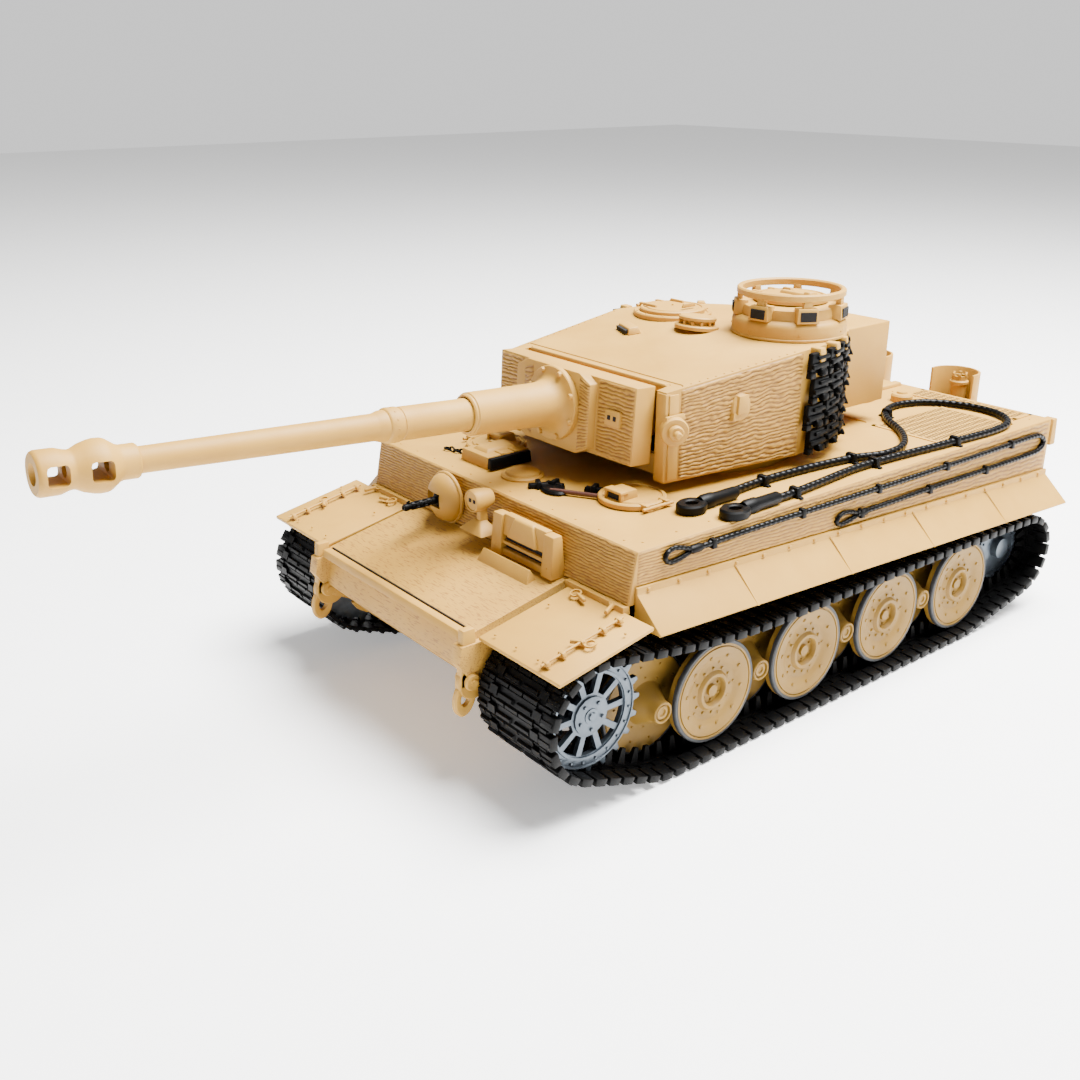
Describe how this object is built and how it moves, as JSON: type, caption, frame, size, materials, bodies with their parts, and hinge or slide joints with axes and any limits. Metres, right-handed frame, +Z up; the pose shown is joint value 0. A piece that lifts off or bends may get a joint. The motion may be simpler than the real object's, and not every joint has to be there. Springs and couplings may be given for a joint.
{
  "type": "radio-controlled tank model",
  "caption": "Radio-controlled heavy tank model: traversing turret, elevating and recoiling gun, opening hatches and tracked running gear with turning wheels.",
  "frame": {"origin": "middle of the whole length and width, gun included, on the ground under the tracks", "axes": "+Z up, front and gun towards -Y, the tank's own left side towards +X"},
  "size_m": [0.232, 0.5352, 0.1837],
  "materials": {
    "sand_plastic": "satin",
    "wheel_plastic": "satin",
    "running_gear_metal": "satin",
    "track_plastic": "satin",
    "cable_rubber": "satin",
    "black_plastic": "satin",
    "circuit_board": "satin"
  },
  "bodies": {
    "hull": {"lower_hull": "sand_plastic", "upper_hull": "sand_plastic", "rear_plate": "sand_plastic", "driver_visor": "sand_plastic", "bow_shield": "sand_plastic", "battery_pack": "black_plastic", "control_board": "circuit_board", "drive_gearbox": "black_plastic", "side_cable": "cable_rubber", "driver_hatch": "sand_plastic", "radio_hatch": "sand_plastic", "skirt_left": "sand_plastic", "front_fender_left": "sand_plastic", "exhaust_pipe_left": "sand_plastic", "exhaust_shield_left": "sand_plastic", "track_left": "track_plastic", "suspension_left": "sand_plastic", "final_drive_left": "sand_plastic", "tow_cable_left": "cable_rubber", "skirt_right": "sand_plastic", "front_fender_right": "sand_plastic", "exhaust_pipe_right": "sand_plastic", "exhaust_shield_right": "sand_plastic", "track_right": "track_plastic", "suspension_right": "sand_plastic", "final_drive_right": "sand_plastic", "tow_cable_right": "cable_rubber"},
    "turret": {"turret_shell": "sand_plastic", "cupola": "sand_plastic", "stowage_bin": "sand_plastic", "spare_tracks_left": "track_plastic", "spare_tracks_right": "track_plastic"},
    "gun_mount": {"mantlet": "sand_plastic", "barrel_sleeve": "sand_plastic"},
    "gun_tube": {"gun_barrel": "sand_plastic", "muzzle_brake": "sand_plastic"},
    "commander_hatch": {"commander_hatch": "sand_plastic"},
    "loader_hatch": {"loader_hatch": "sand_plastic"},
    "bow_gun": {"bow_gun": "black_plastic"},
    "power_switch": {"power_switch": "black_plastic"},
    "sprocket_left": {"sprocket_left": "running_gear_metal"},
    "idler_left": {"idler_left": "running_gear_metal"},
    "road_wheel_left_1": {"road_wheel_left_1": "wheel_plastic"},
    "road_wheel_left_2": {"road_wheel_left_2": "wheel_plastic"},
    "road_wheel_left_3": {"road_wheel_left_3": "wheel_plastic"},
    "road_wheel_left_4": {"road_wheel_left_4": "wheel_plastic"},
    "road_wheel_left_5": {"road_wheel_left_5": "wheel_plastic"},
    "road_wheel_left_6": {"road_wheel_left_6": "wheel_plastic"},
    "road_wheel_left_7": {"road_wheel_left_7": "wheel_plastic"},
    "road_wheel_left_8": {"road_wheel_left_8": "wheel_plastic"},
    "sprocket_right": {"sprocket_right": "running_gear_metal"},
    "idler_right": {"idler_right": "running_gear_metal"},
    "road_wheel_right_1": {"road_wheel_right_1": "wheel_plastic"},
    "road_wheel_right_2": {"road_wheel_right_2": "wheel_plastic"},
    "road_wheel_right_3": {"road_wheel_right_3": "wheel_plastic"},
    "road_wheel_right_4": {"road_wheel_right_4": "wheel_plastic"},
    "road_wheel_right_5": {"road_wheel_right_5": "wheel_plastic"},
    "road_wheel_right_6": {"road_wheel_right_6": "wheel_plastic"},
    "road_wheel_right_7": {"road_wheel_right_7": "wheel_plastic"},
    "road_wheel_right_8": {"road_wheel_right_8": "wheel_plastic"}
  },
  "joints": [
    {"name": "turret_traverse", "type": "hinge", "parent": "hull", "child": "turret", "pos_m": [0, 0.0601, 0.106], "axis": [0, 0, 1], "range_deg": [-160, 160]},
    {"name": "gun_elevation", "type": "hinge", "parent": "turret", "child": "gun_mount", "pos_m": [0, -0.0019, 0.137], "axis": [-1, 0, 0], "range_deg": [-10, 11]},
    {"name": "gun_recoil", "type": "slide", "parent": "gun_mount", "child": "gun_tube", "axis": [0, 0.9982, -0.0593], "range_m": [0, 0.008], "stiffness_N_per_m": 150, "springref_m": -0.002},
    {"name": "commander_hatch_hinge", "type": "hinge", "parent": "turret", "child": "commander_hatch", "pos_m": [0.012, 0.0961, 0.1785], "axis": [0, -1, 0], "range_deg": [0, 88]},
    {"name": "loader_hatch_hinge", "type": "hinge", "parent": "turret", "child": "loader_hatch", "pos_m": [-0.056, 0.0821, 0.164], "axis": [0, -1, 0], "range_deg": [0, 100]},
    {"name": "bow_gun_pitch", "type": "hinge", "parent": "hull", "child": "bow_gun", "pos_m": [-0.0308, -0.0749, 0.0919], "axis": [-1, 0, 0], "range_deg": [-8, 12]},
    {"name": "power_switch_slide", "type": "slide", "parent": "hull", "child": "power_switch", "axis": [0, 1, 0], "range_m": [0, 0.004]},
    {"name": "sprocket_left_spin", "type": "hinge", "parent": "hull", "child": "sprocket_left", "pos_m": [0, -0.0974, 0.0425], "axis": [1, 0, 0], "continuous": true},
    {"name": "idler_left_spin", "type": "hinge", "parent": "hull", "child": "idler_left", "pos_m": [0, 0.2136, 0.034], "axis": [1, 0, 0], "continuous": true},
    {"name": "road_wheel_left_1_spin", "type": "hinge", "parent": "hull", "child": "road_wheel_left_1", "pos_m": [0, -0.0568, 0.0293], "axis": [1, 0, 0], "continuous": true},
    {"name": "road_wheel_left_2_spin", "type": "hinge", "parent": "hull", "child": "road_wheel_left_2", "pos_m": [0, -0.0258, 0.0293], "axis": [1, 0, 0], "continuous": true},
    {"name": "road_wheel_left_3_spin", "type": "hinge", "parent": "hull", "child": "road_wheel_left_3", "pos_m": [0, 0.0052, 0.0293], "axis": [1, 0, 0], "continuous": true},
    {"name": "road_wheel_left_4_spin", "type": "hinge", "parent": "hull", "child": "road_wheel_left_4", "pos_m": [0, 0.0362, 0.0293], "axis": [1, 0, 0], "continuous": true},
    {"name": "road_wheel_left_5_spin", "type": "hinge", "parent": "hull", "child": "road_wheel_left_5", "pos_m": [0, 0.0672, 0.0293], "axis": [1, 0, 0], "continuous": true},
    {"name": "road_wheel_left_6_spin", "type": "hinge", "parent": "hull", "child": "road_wheel_left_6", "pos_m": [0, 0.0982, 0.0293], "axis": [1, 0, 0], "continuous": true},
    {"name": "road_wheel_left_7_spin", "type": "hinge", "parent": "hull", "child": "road_wheel_left_7", "pos_m": [0, 0.1292, 0.0293], "axis": [1, 0, 0], "continuous": true},
    {"name": "road_wheel_left_8_spin", "type": "hinge", "parent": "hull", "child": "road_wheel_left_8", "pos_m": [0, 0.1602, 0.0293], "axis": [1, 0, 0], "continuous": true},
    {"name": "sprocket_right_spin", "type": "hinge", "parent": "hull", "child": "sprocket_right", "pos_m": [0, -0.0974, 0.0425], "axis": [1, 0, 0], "continuous": true},
    {"name": "idler_right_spin", "type": "hinge", "parent": "hull", "child": "idler_right", "pos_m": [0, 0.2136, 0.034], "axis": [1, 0, 0], "continuous": true},
    {"name": "road_wheel_right_1_spin", "type": "hinge", "parent": "hull", "child": "road_wheel_right_1", "pos_m": [0, -0.0568, 0.0293], "axis": [1, 0, 0], "continuous": true},
    {"name": "road_wheel_right_2_spin", "type": "hinge", "parent": "hull", "child": "road_wheel_right_2", "pos_m": [0, -0.0258, 0.0293], "axis": [1, 0, 0], "continuous": true},
    {"name": "road_wheel_right_3_spin", "type": "hinge", "parent": "hull", "child": "road_wheel_right_3", "pos_m": [0, 0.0052, 0.0293], "axis": [1, 0, 0], "continuous": true},
    {"name": "road_wheel_right_4_spin", "type": "hinge", "parent": "hull", "child": "road_wheel_right_4", "pos_m": [0, 0.0362, 0.0293], "axis": [1, 0, 0], "continuous": true},
    {"name": "road_wheel_right_5_spin", "type": "hinge", "parent": "hull", "child": "road_wheel_right_5", "pos_m": [0, 0.0672, 0.0293], "axis": [1, 0, 0], "continuous": true},
    {"name": "road_wheel_right_6_spin", "type": "hinge", "parent": "hull", "child": "road_wheel_right_6", "pos_m": [0, 0.0982, 0.0293], "axis": [1, 0, 0], "continuous": true},
    {"name": "road_wheel_right_7_spin", "type": "hinge", "parent": "hull", "child": "road_wheel_right_7", "pos_m": [0, 0.1292, 0.0293], "axis": [1, 0, 0], "continuous": true},
    {"name": "road_wheel_right_8_spin", "type": "hinge", "parent": "hull", "child": "road_wheel_right_8", "pos_m": [0, 0.1602, 0.0293], "axis": [1, 0, 0], "continuous": true}
  ],
  "couplings": [
    {"joint": "idler_left_spin", "follows": "sprocket_left_spin", "ratio": 1.2141},
    {"joint": "road_wheel_left_1_spin", "follows": "sprocket_left_spin", "ratio": 1.0512},
    {"joint": "road_wheel_left_2_spin", "follows": "sprocket_left_spin", "ratio": 1.0512},
    {"joint": "road_wheel_left_3_spin", "follows": "sprocket_left_spin", "ratio": 1.0512},
    {"joint": "road_wheel_left_4_spin", "follows": "sprocket_left_spin", "ratio": 1.0512},
    {"joint": "road_wheel_left_5_spin", "follows": "sprocket_left_spin", "ratio": 1.0512},
    {"joint": "road_wheel_left_6_spin", "follows": "sprocket_left_spin", "ratio": 1.0512},
    {"joint": "road_wheel_left_7_spin", "follows": "sprocket_left_spin", "ratio": 1.0512},
    {"joint": "road_wheel_left_8_spin", "follows": "sprocket_left_spin", "ratio": 1.0512},
    {"joint": "idler_right_spin", "follows": "sprocket_right_spin", "ratio": 1.2141},
    {"joint": "road_wheel_right_1_spin", "follows": "sprocket_right_spin", "ratio": 1.0512},
    {"joint": "road_wheel_right_2_spin", "follows": "sprocket_right_spin", "ratio": 1.0512},
    {"joint": "road_wheel_right_3_spin", "follows": "sprocket_right_spin", "ratio": 1.0512},
    {"joint": "road_wheel_right_4_spin", "follows": "sprocket_right_spin", "ratio": 1.0512},
    {"joint": "road_wheel_right_5_spin", "follows": "sprocket_right_spin", "ratio": 1.0512},
    {"joint": "road_wheel_right_6_spin", "follows": "sprocket_right_spin", "ratio": 1.0512},
    {"joint": "road_wheel_right_7_spin", "follows": "sprocket_right_spin", "ratio": 1.0512},
    {"joint": "road_wheel_right_8_spin", "follows": "sprocket_right_spin", "ratio": 1.0512}
  ]
}
